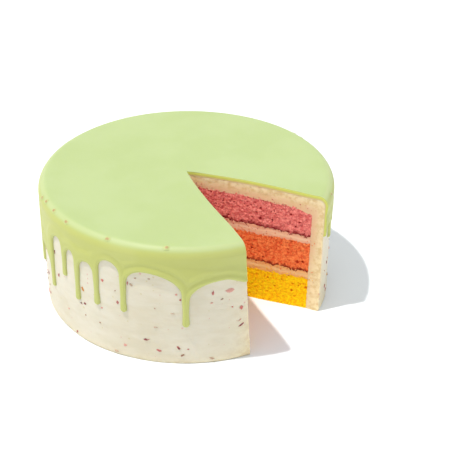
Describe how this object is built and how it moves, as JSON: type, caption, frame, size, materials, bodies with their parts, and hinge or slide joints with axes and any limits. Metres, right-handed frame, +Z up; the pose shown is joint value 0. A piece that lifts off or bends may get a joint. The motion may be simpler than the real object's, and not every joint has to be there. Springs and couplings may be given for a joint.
{
  "type": "drip cake",
  "caption": "Round layer cake under a pale green poured glaze that drips down its flecked cream side, with a wedge cut out to show coloured sponges and cream fillings.",
  "frame": {"origin": "on the cake's axis, at its base on the table", "axes": "+Z up along the cake's axis; the cut-out wedge opens between +X and -Y"},
  "size_m": [0.2203, 0.2204, 0.096],
  "materials": {
    "glaze": "smooth poured glaze, soft gloss, slightly translucent",
    "cream": "spread buttercream, satin, with small dark red flecks of dried fruit",
    "sponge_pink": "cut sponge with a fine open crumb, matt",
    "sponge_orange": "cut sponge with a fine open crumb, matt",
    "sponge_yellow": "cut sponge with a fine open crumb, matt"
  },
  "bodies": {
    "root": {"sponge_yellow": "sponge_yellow", "cream_lower": "cream", "sponge_orange": "sponge_orange", "cream_upper": "cream", "sponge_pink": "sponge_pink", "cream_coat": "cream", "glaze": "glaze"}
  },
  "joints": []
}
